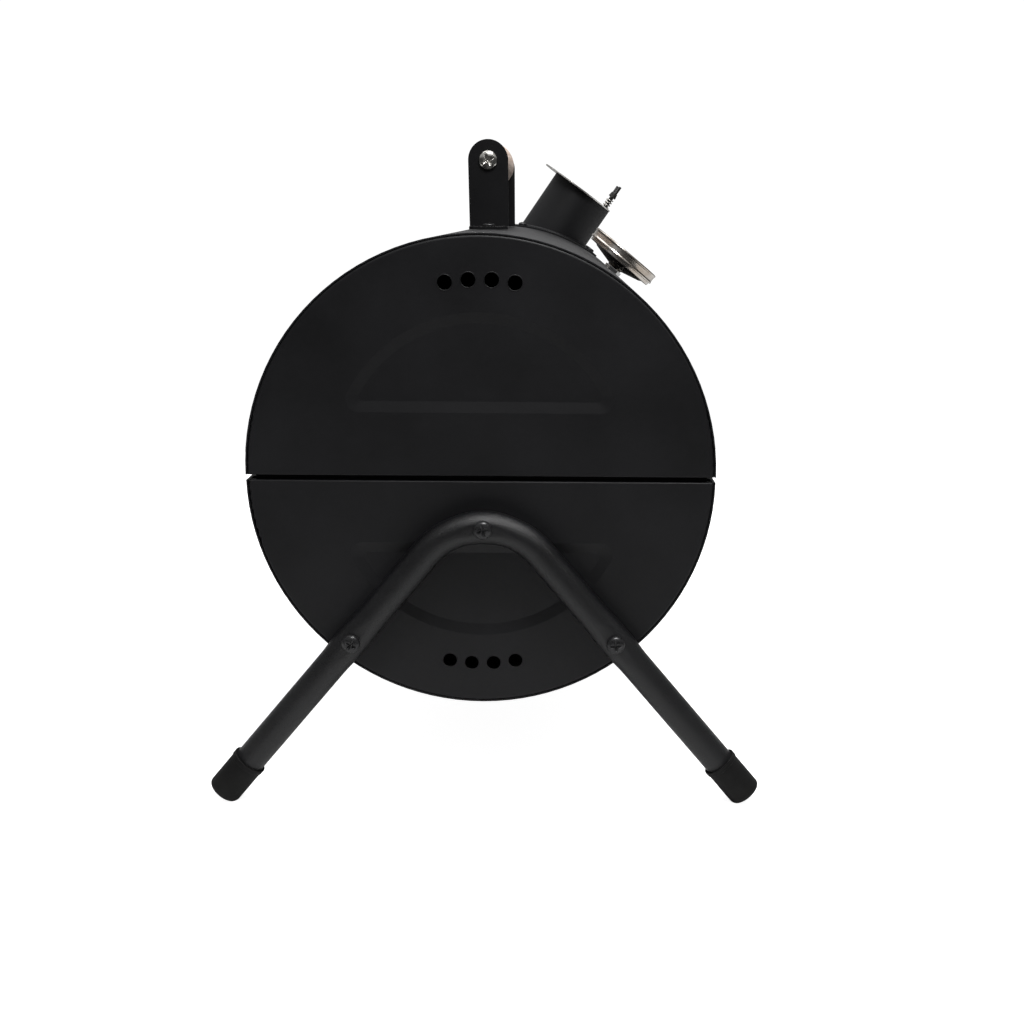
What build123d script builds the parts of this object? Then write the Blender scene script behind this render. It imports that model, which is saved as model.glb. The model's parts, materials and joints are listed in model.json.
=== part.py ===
"""Tabletop barrel grill: a drum on its side, split into lid and bottom, on two bent tube legs.

Millimetres, +Z up. X = 0 and Y = 0 are the middle of the drum and Z = 0 is the ground.
+X is the front, with the thermometer, and the hinges are at the back, at -X.
Both halves are half drums, and a gap lies between their edges at the seam.
"""

import os
from math import cos, radians, sin, sqrt

from build123d import *

# Drum
seam_height = 217.5
half_gap = 1.7
half_length = 270.0
lid_radius = 150.0
bottom_radius = 149.8
sheet = 1.0
shell_recess = 0.3
cap_round = 1.8
cap_depth = 13.0
lip_width = 5.5
hem_inner_x = 145.5
weld_gap = 0.1
edge_round = 0.7
punch = 10.0

# Pressed half-moon panel in each end, measured from the seam
panel_line = 42.0
panel_arc_centre = 9.7
panel_arc_radius = 94.7
panel_slope = 7.0
panel_depth = 1.6
panel_outer_corner = 8.0
panel_inner_corner = 3.0

# Vent holes in each end, measured from the drum's middle
vent_radius = 4.7
vent_circle = 124.0
vent_angles = (-10.05, -3.35, 3.35, 10.05)

# Legs
tube_radius = 10.0
tube_wall = 1.5
leg_angle = 40.0
leg_bend_radius = 48.0
leg_vertex = -2.8
leg_shift = 1.5
leg_length = 274.2
foot_radius = 11.2
foot_length = 30.0
foot_floor = 4.0
foot_round = 3.0
foot_lip = 0.5
foot_lip_length = 3.0
leg_screw_down = 28.9
leg_side_screw_x = 85.4
leg_seat = 0.5

# Fasteners
slip = 0.05
seat_gap = 0.3
m6_radius = 3.0
m5_radius = 2.5
m4_radius = 2.0

# Screws: head radius, head height, shank radius and length
leg_screw = (6.0, 3.6, m6_radius, 28.0)
grip_screw = (6.85, 3.2, m5_radius, 24.0)
bracket_bolt = (4.6, 1.9, m5_radius, 12.0)
saddle_screw = (3.8, 2.4, m4_radius, 9.0)
damper_screw = (4.0, 2.4, m4_radius, 22.0)

# Nuts: half the width across the flats, hole radius, height and washer radius
m6_nut = (5.0, m6_radius + slip, 5.0, 7.0)
m5_nut = (4.0, m5_radius + slip, 4.0, 6.0)
m4_nut = (3.5, m4_radius + slip, 3.2, 0.0)
stem_nut_flat = 6.5
inner_stem_nut_height = 4.0

# Hinges
hinge_y = 170.0
hinge_width = 36.0
hinge_knuckle = 12.0
pin_x = -154.2
pin_radius = 2.0
pin_head = 1.0
knuckle_radius = 3.5
leaf_thickness = 1.5
leaf_height = 24.0
hinge_clearance = 0.3

# Handle
handle_angle = -0.6
grip_height = 198.2
bracket_y = 95.0
bracket_width = 29.0
bracket_foot_width = 28.4
bracket_thickness = 2.0
bracket_foot = 14.0
bracket_foot_corner = 4.0
bracket_bolt_out = 7.7
grip_end_radius = 12.5
grip_middle_radius = 15.9
grip_round = 2.5
grip_hole_depth = 26.0

# Thermometer, heights measured out from the lid's axis
gauge_angle = 38.6
gauge_front = 169.2
bezel_radius = 30.8
bezel_wall = 1.5
stem_radius = 3.5
stem_tip = 100.0
stem_point = 6.0
case_depth = 11.0
case_wall = 1.2
neck_height = 2.5
neck_radius = 6.0
cone_radius = 22.0
bezel_lap = 3.5
bezel_depth = 8.0
bezel_chamfer = 1.0
glass_thickness = 1.8
dial_thickness = 0.8
pivot_radius = 1.2
needle_lift = 0.8
needle_cold_turn = 135.0
needle_thickness = 0.8
needle_hub_radius = 3.0
needle_length = 21.0
needle_tail = 8.0
needle_tip_width = 1.2
needle_tail_width = 2.8

# Chimney
chimney_tilt = 34.9
chimney_offset = -42.6
chimney_top = 190.5
chimney_y = 205.0
pipe_radius = 30.7
pipe_wall = 1.2
pipe_length = 105.0
saddle_start = 3.7
saddle_end = 35.1
saddle_half_length = 38.0
saddle_thickness = 1.5
saddle_screw_angle = 3.0
saddle_screw_inset = 6.0
damper_radius = 37.0
damper_shift = -6.0
damper_pivot = 25.2
damper_thickness = 1.2
damper_lift = 0.3
ear_length = 16.0
ear_tip = 5.0
ear_width = 14.0
ear_thickness = 2.0
spring_wire = 0.6
spring_pitch = 2.6
spring_turns = 3
wing_base = 12.6
wing_hub_radius = 3.8
wing_turn = 6.0
wing_hub_height = 5.0
wing_hub_taper = 10.0
wing_reach = 11.0
wing_inner_reach = 7.7
wing_height = 12.0
wing_thickness = 2.2

# Inside
grate_half_x = 138.0
grate_half_y = 251.0
grate_ledge = -30.0
fire_half_x = 105.0
fire_half_y = 240.0
fire_ledge = -95.0
rail_half_length = 225.0
rail_thickness = 1.2
rail_drop = 12.0
ledge_overlap = 7.0
frame_bar = 3.0
cooking_bar = 1.75
cooking_bar_count = 33
fire_bar = 2.5
fire_bar_count = 23
band_x = 145.0
band_y = 262.0
band_top = 6.0
band_bottom = -14.0

lid_centre = seam_height + half_gap
bottom_centre = seam_height - half_gap


def end_plane(y, height=seam_height, tilt=0.0):
    """The plane across the drum at y: its x runs to the front and its y up, tilted round the drum."""
    a = radians(tilt)
    return Plane(origin=(0, y, height), x_dir=(cos(a), 0, -sin(a)), z_dir=(0, -1, 0))


def radial(angle, out, y):
    """The plane on the lid at an angle from straight up towards the front, facing outward."""
    a = radians(angle)
    origin = (out * sin(a), y, lid_centre + out * cos(a))
    return Plane(origin=origin, x_dir=(cos(a), 0, -sin(a)), z_dir=(sin(a), 0, cos(a)))


def polar(angle, radius):
    """A point on an end plane, at an angle from straight up towards the front."""
    return (radius * sin(radians(angle)), radius * cos(radians(angle)))


def save(part, name):
    part.label = name
    export_step(part, f"parts/{name}.step")


def far_copy(part):
    """The same piece at the drum's other end."""
    with BuildPart() as copy:
        mirror(part, about=Plane.XZ)
    return copy.part


def curved_plate(height, inner, outer, start, end, y0, y1):
    """A plate that follows the drum, between two angles and from y0 to y1."""
    with BuildPart() as plate:
        with BuildSketch(end_plane(y1, height)):
            Circle(outer)
            Circle(inner, mode=Mode.SUBTRACT)
            with BuildLine():
                Polyline((0, 0), polar(start, 2 * outer), polar(end, 2 * outer), close=True)
            make_face(mode=Mode.INTERSECT)
        extrude(amount=y1 - y0)
    return plate.part


def half_disc(side, line, arc_centre, arc_radius):
    """The half-moon outline on the current sketch plane; side is 1 for the lid and -1 for the bottom."""
    size = 2 * arc_radius
    with Locations((0, side * arc_centre)):
        Circle(arc_radius)
    with Locations((0, side * (line + size / 2))):
        Rectangle(2 * size, size, mode=Mode.INTERSECT)


def panel_sketches(side, y):
    """The shoulder outline at y and the floor outline one panel depth further in."""
    with BuildSketch(end_plane(y)) as shoulder:
        half_disc(side, panel_line, panel_arc_centre, panel_arc_radius)
        fillet(shoulder.vertices(), radius=panel_outer_corner)
    with BuildSketch(end_plane(y + panel_depth)) as floor:
        floor_line = panel_line + panel_slope
        floor_arc = panel_arc_radius - panel_slope
        half_disc(side, floor_line, panel_arc_centre, floor_arc)
        fillet(floor.vertices(), radius=panel_inner_corner)
    return shoulder.sketch, floor.sketch


def end_cap(side):
    """The near pressed half end, a dish pushed into the shell: side is 1 for the lid and -1 for the bottom."""
    shell_radius = lid_radius if side > 0 else bottom_radius
    radius = shell_radius - sheet - weld_gap
    centre = seam_height + side * half_gap
    front = -half_length
    back = front + cap_depth
    with BuildPart() as cap:
        with BuildSketch(Plane.XY.offset(centre)) as profile:
            with BuildLine():
                Polyline(
                    (0, front),
                    (radius, front),
                    (radius, back),
                    (radius - sheet, back),
                    (radius - sheet, front + sheet),
                    (0, front + sheet),
                    close=True,
                )
            make_face()
            rim = profile.vertices().sort_by_distance((radius, front, centre))[0]
            fillet(rim, radius=cap_round)
            inside = profile.vertices().sort_by_distance((radius - sheet, front + sheet, centre))[0]
            fillet(inside, radius=cap_round - sheet)
        axis = Axis((0, 0, centre), (0, -side, 0))
        revolve(axis=axis, revolution_arc=180)
        lip = 2 * (radius - cap_round)
        with Locations((0, front + lip_width / 2, centre + side * sheet / 2)):
            Box(lip, lip_width, sheet)
        edge = (
            cap.edges()
            .filter_by(Axis.X)
            .sort_by_distance((0, front, centre))[0]
        )
        fillet(edge, radius=edge_round)
        loft(sections=panel_sketches(side, front + sheet), ruled=True)
        loft(sections=panel_sketches(side, front), ruled=True, mode=Mode.SUBTRACT)
        with BuildSketch(end_plane(front)):
            for angle in vent_angles:
                x, z = polar(angle, vent_circle)
                with Locations((x, side * z)):
                    Circle(vent_radius)
            if side < 0:
                with Locations(*leg_screw_points()):
                    Circle(m6_radius + 2 * slip)
        extrude(amount=-punch, mode=Mode.SUBTRACT)
    return cap.part


def shell(side):
    """The sheet between the ends of one half, with a hem turned inward along the seam."""
    radius = lid_radius if side > 0 else bottom_radius
    centre = seam_height + side * half_gap
    hem_x = hem_inner_x if side > 0 else band_x
    hem_width = radius - sheet / 2 - hem_x
    with BuildPart() as half:
        with BuildSketch(end_plane(0, centre)):
            Circle(radius)
            Circle(radius - sheet, mode=Mode.SUBTRACT)
            with Locations((0, side * radius)):
                Rectangle(4 * radius, 2 * radius, mode=Mode.INTERSECT)
        extrude(amount=half_length - shell_recess, both=True)
        with BuildSketch(end_plane(0, centre)):
            for x in (-1, 1):
                with Locations((x * (hem_x + hem_width / 2), side * sheet / 2)):
                    Rectangle(hem_width, sheet)
        extrude(amount=half_length - cap_depth - seat_gap, both=True)
        if side > 0:
            with BuildSketch(chimney_plane(0)):
                Circle(pipe_radius - 2 * pipe_wall)
            extrude(amount=-chimney_top, mode=Mode.SUBTRACT)
            with BuildSketch(radial(gauge_angle, 0, 0)):
                Circle(stem_radius + 4 * slip)
            extrude(amount=2 * radius, mode=Mode.SUBTRACT)
            for y in (-bracket_bolt_y(), bracket_bolt_y()):
                with BuildSketch(radial(handle_angle, 0, y)):
                    Circle(m5_radius + 2 * slip)
                extrude(amount=2 * radius, mode=Mode.SUBTRACT)
            for plane in saddle_screw_planes():
                with BuildSketch(plane):
                    Circle(m4_radius + 2 * slip)
                extrude(amount=punch, both=True, mode=Mode.SUBTRACT)
    return half.part


def leg_screw_points():
    """Where each leg is bolted to the drum's end, on an end plane."""
    side_down = leg_vertex - leg_side_screw_x / sin(radians(leg_angle)) * cos(radians(leg_angle))
    middle = (leg_shift, -leg_screw_down)
    return [middle, (leg_shift - leg_side_screw_x, side_down), (leg_shift + leg_side_screw_x, side_down)]


def leg_end(back_off):
    """The point on the leg's centreline back_off above its free end, and the direction down the leg."""
    a = radians(leg_angle)
    along = leg_length - back_off
    return (along * sin(a), leg_vertex - along * cos(a)), (sin(a), -cos(a))


def leg_y():
    return -(half_length + tube_radius + slip)


def leg_tube():
    """The near leg: one tube bent over the drum's end, with a flat seat under each screw head."""
    (foot_x, foot_z), _ = leg_end(foot_floor)
    y = leg_y()
    crown = y - tube_radius
    with BuildPart() as leg:
        with BuildLine(end_plane(y)) as path:
            rear_foot = (leg_shift - foot_x, foot_z)
            front_foot = (leg_shift + foot_x, foot_z)
            FilletPolyline(rear_foot, (leg_shift, leg_vertex), front_foot, radius=leg_bend_radius)
        start = Plane(origin=path.line @ 0, z_dir=path.line % 0)
        with BuildSketch(start):
            Circle(tube_radius)
            Circle(tube_radius - tube_wall, mode=Mode.SUBTRACT)
        sweep()
        with BuildSketch(end_plane(crown + sheet / 2)):
            with Locations(*leg_screw_points()):
                Circle(2 * m6_radius + 2 * slip + leg_seat)
        extrude(amount=4 * sheet, mode=Mode.SUBTRACT)
        with BuildSketch(end_plane(crown)):
            with Locations(*leg_screw_points()):
                Circle(m6_radius + 2 * slip)
        extrude(amount=-3 * tube_radius, mode=Mode.SUBTRACT)
    return leg.part


def foot_cap(side_x):
    """A rubber cap on the near leg's end, worn flat where it stands on the ground."""
    (x, z), (down_x, down_z) = leg_end(0)
    end = Plane(
        origin=(leg_shift + side_x * x, leg_y(), seam_height + z),
        x_dir=(0, 1, 0),
        z_dir=(side_x * down_x, 0, down_z),
    )
    with BuildPart() as cap:
        with BuildSketch(end):
            Circle(foot_radius)
        extrude(amount=-foot_length)
        fillet(cap.edges().filter_by(GeomType.CIRCLE).sort_by_distance(end.origin)[0], radius=foot_round)
        with BuildSketch(end.offset(-foot_length)):
            Circle(foot_radius + foot_lip)
        extrude(amount=foot_lip_length)
        with BuildSketch(end.offset(-foot_floor)):
            Circle(tube_radius + slip)
        extrude(amount=-foot_length, mode=Mode.SUBTRACT)
        split(bisect_by=Plane.XY, keep=Keep.TOP)
    return cap.part


def pan_screw(planes, head_radius, head_height, shank_radius, length):
    """Cross-head screws; each plane lies under a head and faces out of it."""
    cross_width = 0.22 * head_radius
    cross_length = 1.15 * head_radius
    cross_depth = 0.55 * head_height
    crown = 0.6 * head_height
    with BuildPart() as screws:
        for plane in planes:
            with BuildSketch(plane):
                Circle(head_radius)
            extrude(amount=head_height)
        tops = screws.faces().filter_by(lambda face: face.normal_at().dot(planes[0].z_dir) > 0.99)
        fillet(tops.edges(), radius=crown)
        for plane in planes:
            with BuildSketch(plane):
                Circle(shank_radius)
            extrude(amount=-length)
            with BuildSketch(plane.offset(head_height)):
                Rectangle(cross_length, cross_width)
                Rectangle(cross_width, cross_length)
            extrude(amount=-cross_depth, mode=Mode.SUBTRACT)
    return screws.part


def hex_nuts(planes, flat_radius, hole_radius, height, washer_radius):
    """Nuts that stand on their planes, each on a washer where it has one."""
    washer = sheet if washer_radius else 0.0
    with BuildPart() as nuts:
        for plane in planes:
            if washer_radius:
                with BuildSketch(plane):
                    Circle(washer_radius)
                extrude(amount=washer)
            with BuildSketch(plane.offset(washer)):
                RegularPolygon(flat_radius, 6, major_radius=False)
            extrude(amount=height)
            with BuildSketch(plane):
                Circle(hole_radius)
            extrude(amount=height + washer, mode=Mode.SUBTRACT)
    return nuts.part


def leg_screw_planes():
    face = end_plane(leg_y() - tube_radius + sheet / 2)
    return [shifted(face, point) for point in leg_screw_points()]


def shifted(plane, point):
    """The same plane with its origin at a point given in its own coordinates."""
    origin = plane.from_local_coords((point[0], point[1], 0))
    return Plane(origin=origin, x_dir=plane.x_dir, z_dir=plane.z_dir)


def turned(plane, angle):
    """The same plane turned round its own normal."""
    a = radians(angle)
    return Plane(origin=plane.origin, x_dir=plane.x_dir * cos(a) + plane.y_dir * sin(a), z_dir=plane.z_dir)


def leg_nut_planes():
    """Inside the near bottom end, facing into the drum."""
    face = end_plane(-half_length + sheet + weld_gap)
    planes = [shifted(face, point) for point in leg_screw_points()]
    return [Plane(origin=plane.origin, x_dir=plane.x_dir, z_dir=-plane.z_dir) for plane in planes]


def hinge_leaf(side, y):
    """Half a hinge; the lid's leaf has the middle knuckle and the bottom's leaf the outer two."""
    radius = lid_radius if side > 0 else bottom_radius
    centre = seam_height + side * half_gap
    outer = radius + leaf_thickness
    inner = radius + slip
    clear = knuckle_radius + hinge_clearance
    middle = hinge_knuckle - 2 * hinge_clearance
    slot_width = 2 * (-pin_x - inner + sheet)
    with BuildPart() as leaf:
        with BuildSketch(end_plane(y)):
            leaf_outline(side, inner, outer, clear, centre)
        extrude(amount=hinge_width / 2, both=True)
        with BuildSketch(end_plane(y)):
            leaf_outline(side, inner, outer, hinge_clearance, centre)
            with Locations((pin_x, 0)):
                Circle(knuckle_radius)
            web = -pin_x - radius
            web_rise = knuckle_radius - hinge_clearance
            with Locations((pin_x + web / 2, side * (hinge_clearance + web_rise / 2))):
                Rectangle(web, web_rise)
        if side > 0:
            extrude(amount=middle / 2, both=True)
        else:
            extrude(amount=hinge_width / 2, both=True)
            with Locations((pin_x, y, seam_height - clear / 2 + knuckle_radius)):
                Box(slot_width, hinge_knuckle, 2 * knuckle_radius + clear, mode=Mode.SUBTRACT)
        with BuildSketch(end_plane(y)):
            with Locations((pin_x, 0)):
                Circle(pin_radius + slip)
        extrude(amount=hinge_width, both=True, mode=Mode.SUBTRACT)
    return leaf.part


def leaf_outline(side, inner, outer, start, centre):
    """The leaf's section from start to its full height above or below the seam."""
    rise = leaf_height - start
    with Locations((0, centre - seam_height)):
        Circle(outer)
        Circle(inner, mode=Mode.SUBTRACT)
    with Locations((-inner, side * (start + rise / 2))):
        Rectangle(2 * leaf_height, rise, mode=Mode.INTERSECT)


def hinge_pin(y):
    with BuildPart() as pin:
        with BuildSketch(end_plane(y)):
            with Locations((pin_x, 0)):
                Circle(pin_radius)
        extrude(amount=hinge_width / 2 + pin_head, both=True)
        for face in (-1, 1):
            with BuildSketch(end_plane(y + face * (hinge_width / 2 + pin_head))):
                with Locations((pin_x, 0)):
                    Circle(pin_radius + pin_head)
            extrude(amount=pin_head - slip, both=True)
    return pin.part


def build_hinges():
    lid_leaves = []
    bottom_leaves = []
    pins = []
    for y in (-hinge_y, hinge_y):
        lid_leaves.append(hinge_leaf(1, y))
        bottom_leaves.append(hinge_leaf(-1, y))
        pins.append(hinge_pin(y))
    for name, pieces in (
        ("hinge_leaf_lid", lid_leaves),
        ("hinge_leaf_bottom", bottom_leaves),
        ("hinge_pin", pins),
    ):
        save(pieces[0], f"{name}_near")
        save(pieces[1], f"{name}_far")


def bracket_bolt_y():
    return bracket_y + bracket_thickness + bracket_bolt_out


def handle_bracket():
    """The near upright plate, round at the top, with a foot turned out along the lid."""
    low = lid_radius + slip
    y = -bracket_y
    with BuildPart() as bracket:
        with BuildSketch(end_plane(y, lid_centre, handle_angle)):
            with BuildLine():
                Polyline(
                    (-bracket_foot_width / 2, low),
                    (bracket_foot_width / 2, low),
                    (bracket_width / 2, grip_height),
                    (-bracket_width / 2, grip_height),
                    close=True,
                )
            make_face()
            with Locations((0, grip_height)):
                Circle(bracket_width / 2)
        extrude(amount=bracket_thickness)
        foot = radial(handle_angle, low, y - bracket_thickness - bracket_foot / 2)
        with BuildSketch(foot):
            Rectangle(bracket_foot_width, bracket_foot)
        extrude(amount=bracket_thickness)
        upright_edges = bracket.edges().filter_by(Axis((0, 0, 0), foot.z_dir))
        fillet(upright_edges.sort_by(Axis.Y)[:2], radius=bracket_foot_corner)
        with BuildSketch(end_plane(y, lid_centre, handle_angle)):
            with Locations((0, grip_height)):
                Circle(m5_radius + slip)
        extrude(amount=2 * bracket_thickness, both=True, mode=Mode.SUBTRACT)
        with BuildSketch(radial(handle_angle, low, -bracket_bolt_y())):
            Circle(m5_radius + slip)
        extrude(amount=2 * bracket_thickness, both=True, mode=Mode.SUBTRACT)
    return bracket.part


def handle_grip():
    """A turned wooden grip, fuller in the middle, drilled at both ends for its screws."""
    half = bracket_y - slip
    along = Axis((0, 0, 0), (0, 1, 0))
    with BuildPart() as grip:
        with BuildSketch(Plane.XY) as profile:
            with BuildLine():
                ThreePointArc((grip_end_radius, -half), (grip_middle_radius, 0), (grip_end_radius, half))
                Polyline((grip_end_radius, half), (0, half), (0, -half), (grip_end_radius, -half))
            make_face()
            fillet(profile.vertices().group_by(Axis.X)[-1], radius=grip_round)
        revolve(axis=along)
        for end in (-1, 1):
            with BuildSketch(Plane(origin=(0, end * half, 0), z_dir=(0, end, 0))):
                Circle(m5_radius + slip)
            extrude(amount=-grip_hole_depth, mode=Mode.SUBTRACT)
    x, z = polar(handle_angle, grip_height)
    return Pos(x, 0, lid_centre + z) * grip.part


def build_handle():
    near = handle_bracket()
    save(near, "handle_bracket_near")
    save(far_copy(near), "handle_bracket_far")
    save(handle_grip(), "handle_grip")
    outside = end_plane(-bracket_y - bracket_thickness, lid_centre, handle_angle)
    screw = pan_screw([shifted(outside, (0, grip_height))], *grip_screw)
    save(screw, "handle_screw_near")
    save(far_copy(screw), "handle_screw_far")
    low = lid_radius + slip
    over = radial(handle_angle, low + bracket_thickness, -bracket_bolt_y())
    bolts = pan_screw([over], *bracket_bolt)
    inside = radial(handle_angle, lid_radius - sheet - seat_gap, -bracket_bolt_y())
    under = Plane(origin=inside.origin, x_dir=inside.x_dir, z_dir=-inside.z_dir)
    nuts = hex_nuts([under], *m5_nut)
    save(both_ends(bolts), "bracket_bolts")
    save(both_ends(nuts), "bracket_nuts")


def both_ends(part):
    """The near piece and its mirror image in one node."""
    with BuildPart() as pair:
        add(part)
        mirror(part, about=Plane.XZ)
    return pair.part


def gauge_ring(points):
    """A turned piece of the thermometer, from points of radius and height above the lid's axis."""
    with BuildPart() as ring:
        with BuildSketch(Plane.XZ):
            with BuildLine():
                Polyline(*points, close=True)
            make_face()
        revolve(axis=Axis.Z)
    return radial(gauge_angle, 0, 0).location * ring.part


def build_thermometer():
    front = gauge_front
    case_radius = bezel_radius - bezel_wall
    case_inner = case_radius - case_wall
    neck = lid_radius + neck_height
    back = front - case_depth
    case = [
        (0, neck),
        (neck_radius, neck),
        (neck_radius, neck + case_wall),
        (cone_radius, back),
        (case_radius, back + case_wall),
        (case_radius, front - bezel_lap),
        (case_inner, front - bezel_lap),
        (case_inner, back + 2 * case_wall),
        (cone_radius, back + case_wall),
        (0, back + case_wall),
    ]
    save(gauge_ring(case), "thermometer_case")
    rim = case_radius + slip
    window_radius = case_radius - bezel_lap
    bezel = [
        (rim, front - bezel_depth),
        (bezel_radius, front - bezel_depth),
        (bezel_radius, front - bezel_chamfer),
        (bezel_radius - bezel_chamfer, front),
        (window_radius, front),
        (window_radius, front - bezel_chamfer),
        (rim, front - bezel_chamfer),
    ]
    save(gauge_ring(bezel), "thermometer_bezel")
    glass_radius = case_inner - slip
    glass_front = front - bezel_chamfer - slip
    glass_back = glass_front - glass_thickness
    glass = [(0, glass_back), (glass_radius, glass_back), (glass_radius, glass_front), (0, glass_front)]
    save(gauge_ring(glass), "thermometer_glass")
    dial_back = back + 2 * case_wall + slip
    dial_front = dial_back + dial_thickness
    dial = [
        (pivot_radius + seat_gap, dial_back),
        (glass_radius, dial_back),
        (glass_radius, dial_front),
        (pivot_radius + seat_gap, dial_front),
    ]
    save(gauge_ring(dial), "thermometer_dial")
    stem = [(0, stem_tip), (stem_radius, stem_tip + stem_point), (stem_radius, neck - slip), (0, neck - slip)]
    save(gauge_ring(stem), "thermometer_stem")
    save(gauge_needle(back + case_wall + seat_gap, dial_front + needle_lift), "thermometer_needle")
    outer_nut = radial(gauge_angle, lid_radius + slip, 0)
    inner = radial(gauge_angle, lid_radius - sheet - seat_gap, 0)
    inner_nut = Plane(origin=inner.origin, x_dir=inner.x_dir, z_dir=-inner.z_dir)
    hole = stem_radius + slip
    outside_nut = hex_nuts([outer_nut], stem_nut_flat, hole, neck_height - 2 * slip, 0.0)
    save(outside_nut, "thermometer_nut_outer")
    inside_nut = hex_nuts([inner_nut], stem_nut_flat, hole, inner_stem_nut_height, 0.0)
    save(inside_nut, "thermometer_nut_inner")


def gauge_needle(pivot_foot, height):
    """The pointer on its pivot, at the cold end of the scale: down and to the left seen from the front."""
    with BuildPart() as needle:
        with BuildSketch(radial(gauge_angle, pivot_foot, 0)):
            Circle(pivot_radius)
        extrude(amount=height - pivot_foot + needle_thickness)
        with BuildSketch(turned(radial(gauge_angle, height, 0), needle_cold_turn)):
            Circle(needle_hub_radius)
            with BuildLine():
                Polyline(
                    (-needle_length, -needle_tip_width / 2),
                    (needle_tail, -needle_tail_width / 2),
                    (needle_tail, needle_tail_width / 2),
                    (-needle_length, needle_tip_width / 2),
                    close=True,
                )
            make_face()
        extrude(amount=needle_thickness)
    return needle.part


def chimney_plane(out):
    """The plane across the chimney, out above its mouth; its x runs down towards the front."""
    a = radians(chimney_tilt)
    along = chimney_top + out
    x = chimney_offset * cos(a) + along * sin(a)
    z = -chimney_offset * sin(a) + along * cos(a)
    return Plane(origin=(x, chimney_y, lid_centre + z), x_dir=(cos(a), 0, -sin(a)), z_dir=(sin(a), 0, cos(a)))


def saddle_screw_planes():
    """On the saddle's outside at its four corners, facing outward."""
    out = lid_radius + slip + saddle_thickness
    planes = []
    for angle in (saddle_start + saddle_screw_angle, saddle_end - saddle_screw_angle):
        for y in (-1, 1):
            planes.append(radial(angle, out, chimney_y + y * (saddle_half_length - saddle_screw_inset)))
    return planes


def lid_cylinder(radius):
    """A solid rod round the lid's axis, as a cutting tool."""
    with BuildPart() as rod:
        with BuildSketch(end_plane(0, lid_centre)):
            Circle(radius)
        extrude(amount=half_length, both=True)
    return rod.part


def chimney_saddle():
    low = lid_radius + slip
    y0 = chimney_y - saddle_half_length
    y1 = chimney_y + saddle_half_length
    plate = curved_plate(lid_centre, low, low + saddle_thickness, saddle_start, saddle_end, y0, y1)
    with BuildPart() as saddle:
        add(plate)
        with BuildSketch(chimney_plane(0)):
            Circle(pipe_radius - 2 * pipe_wall)
        extrude(amount=-chimney_top, mode=Mode.SUBTRACT)
        for plane in saddle_screw_planes():
            with BuildSketch(plane):
                Circle(m4_radius + slip)
            extrude(amount=3 * saddle_thickness, both=True, mode=Mode.SUBTRACT)
    return saddle.part


def chimney_pipe():
    """The pipe, its foot cut to the saddle, with an ear inside its mouth for the damper's screw."""
    tool = lid_cylinder(lid_radius + saddle_thickness + 2 * slip)
    with BuildPart() as pipe:
        with BuildSketch(chimney_plane(0)):
            Circle(pipe_radius)
            Circle(pipe_radius - pipe_wall, mode=Mode.SUBTRACT)
        extrude(amount=-pipe_length)
        add(tool, mode=Mode.SUBTRACT)
        with BuildSketch(chimney_plane(0)):
            Circle(pipe_radius - pipe_wall / 2)
            with Locations((damper_pivot + ear_length / 2 - ear_tip, 0)):
                Rectangle(ear_length, ear_width, mode=Mode.INTERSECT)
        extrude(amount=-ear_thickness)
        with BuildSketch(chimney_plane(0)):
            with Locations((damper_pivot, 0)):
                Circle(m4_radius + slip)
        extrude(amount=-3 * ear_thickness, mode=Mode.SUBTRACT)
    return pipe.part


def damper_axis(out):
    plane = chimney_plane(out)
    return shifted(plane, (damper_pivot, 0))


def damper_plate():
    """A round plate that covers the mouth and swings about a screw near its edge."""
    with BuildPart() as plate:
        with BuildSketch(chimney_plane(damper_lift)):
            with Locations((damper_shift, 0)):
                Circle(damper_radius)
        extrude(amount=damper_thickness)
        with BuildSketch(damper_axis(damper_lift)):
            Circle(m4_radius + 2 * slip)
        extrude(amount=damper_thickness, mode=Mode.SUBTRACT)
    return plate.part


def damper_spring():
    """A coil spring round the screw, between the plate and the wing nut."""
    base = damper_axis(damper_lift * 2 + damper_thickness + spring_wire)
    with BuildPart() as spring:
        with BuildLine() as path:
            coil_radius = m4_radius + spring_wire + damper_lift + slip
            Helix(pitch=spring_pitch, height=spring_turns * spring_pitch, radius=coil_radius)
        start = Plane(origin=path.line @ 0, z_dir=path.line % 0)
        with BuildSketch(start):
            Circle(spring_wire)
        sweep()
    return base.location * spring.part


def wing_nut():
    """A tapered hub with two wings that point nearly along the drum, above the spring."""
    base = turned(damper_axis(wing_base), wing_turn)
    hub = wing_hub_radius
    with BuildPart() as nut:
        with BuildSketch(base):
            Circle(hub)
        extrude(amount=wing_hub_height, taper=wing_hub_taper)
        upright = Plane(origin=base.origin, x_dir=base.y_dir, z_dir=base.x_dir)
        for side in (-1, 1):
            with BuildSketch(upright):
                with BuildLine():
                    Polyline(
                        (side * hub / 2, slip),
                        (side * hub, slip),
                        (side * wing_reach, wing_height / 2),
                        (side * wing_reach, wing_height),
                        (side * wing_inner_reach, wing_height),
                        (side * hub / 2, wing_hub_height),
                        close=True,
                    )
                make_face()
            extrude(amount=wing_thickness / 2, both=True)
        with BuildSketch(base):
            Circle(m4_radius + slip)
        extrude(amount=wing_height, mode=Mode.SUBTRACT)
    return nut.part


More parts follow.
